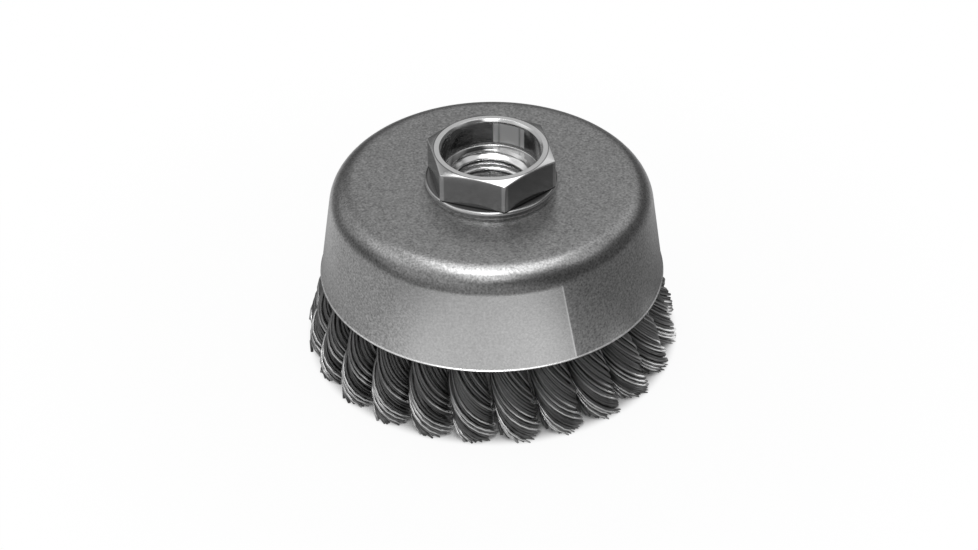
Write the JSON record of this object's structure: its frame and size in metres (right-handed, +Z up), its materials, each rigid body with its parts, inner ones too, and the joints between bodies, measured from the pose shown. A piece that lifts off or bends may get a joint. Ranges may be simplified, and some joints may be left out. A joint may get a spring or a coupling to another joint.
{
  "type": "wire cup brush",
  "caption": "Wire cup brush: a pressed steel cup under a hexagon arbor nut holds a ring of twisted wire knots that reach out past its rim.",
  "frame": {"origin": "centre of the brush face on the spindle axis, at the level of the trimmed wire tips", "axes": "+Z up along the spindle axis, from the wire tips to the arbor nut. -Y faces the camera in the picture and +X is to its right"},
  "size_m": [0.0722, 0.0722, 0.0432],
  "materials": {
    "cup_steel": "satin grey plating with a fine grain",
    "nut_steel": "turned steel, smooth, bright on its edges",
    "inner_steel": "plain pressed steel, dull",
    "wire": "dark drawn wire, lightly oiled"
  },
  "bodies": {
    "root": {"cup_shell": "cup_steel", "arbor_nut": "nut_steel", "knot_plate": "inner_steel", "inner_retainer": "inner_steel", "knot_01": "wire", "knot_02": "wire", "knot_03": "wire", "knot_04": "wire", "knot_05": "wire", "knot_06": "wire", "knot_07": "wire", "knot_08": "wire", "knot_09": "wire", "knot_10": "wire", "knot_11": "wire", "knot_12": "wire", "knot_13": "wire", "knot_14": "wire", "knot_15": "wire", "knot_16": "wire", "knot_17": "wire", "knot_18": "wire", "knot_19": "wire", "knot_20": "wire", "knot_21": "wire", "knot_22": "wire", "knot_23": "wire", "knot_24": "wire"}
  },
  "joints": []
}
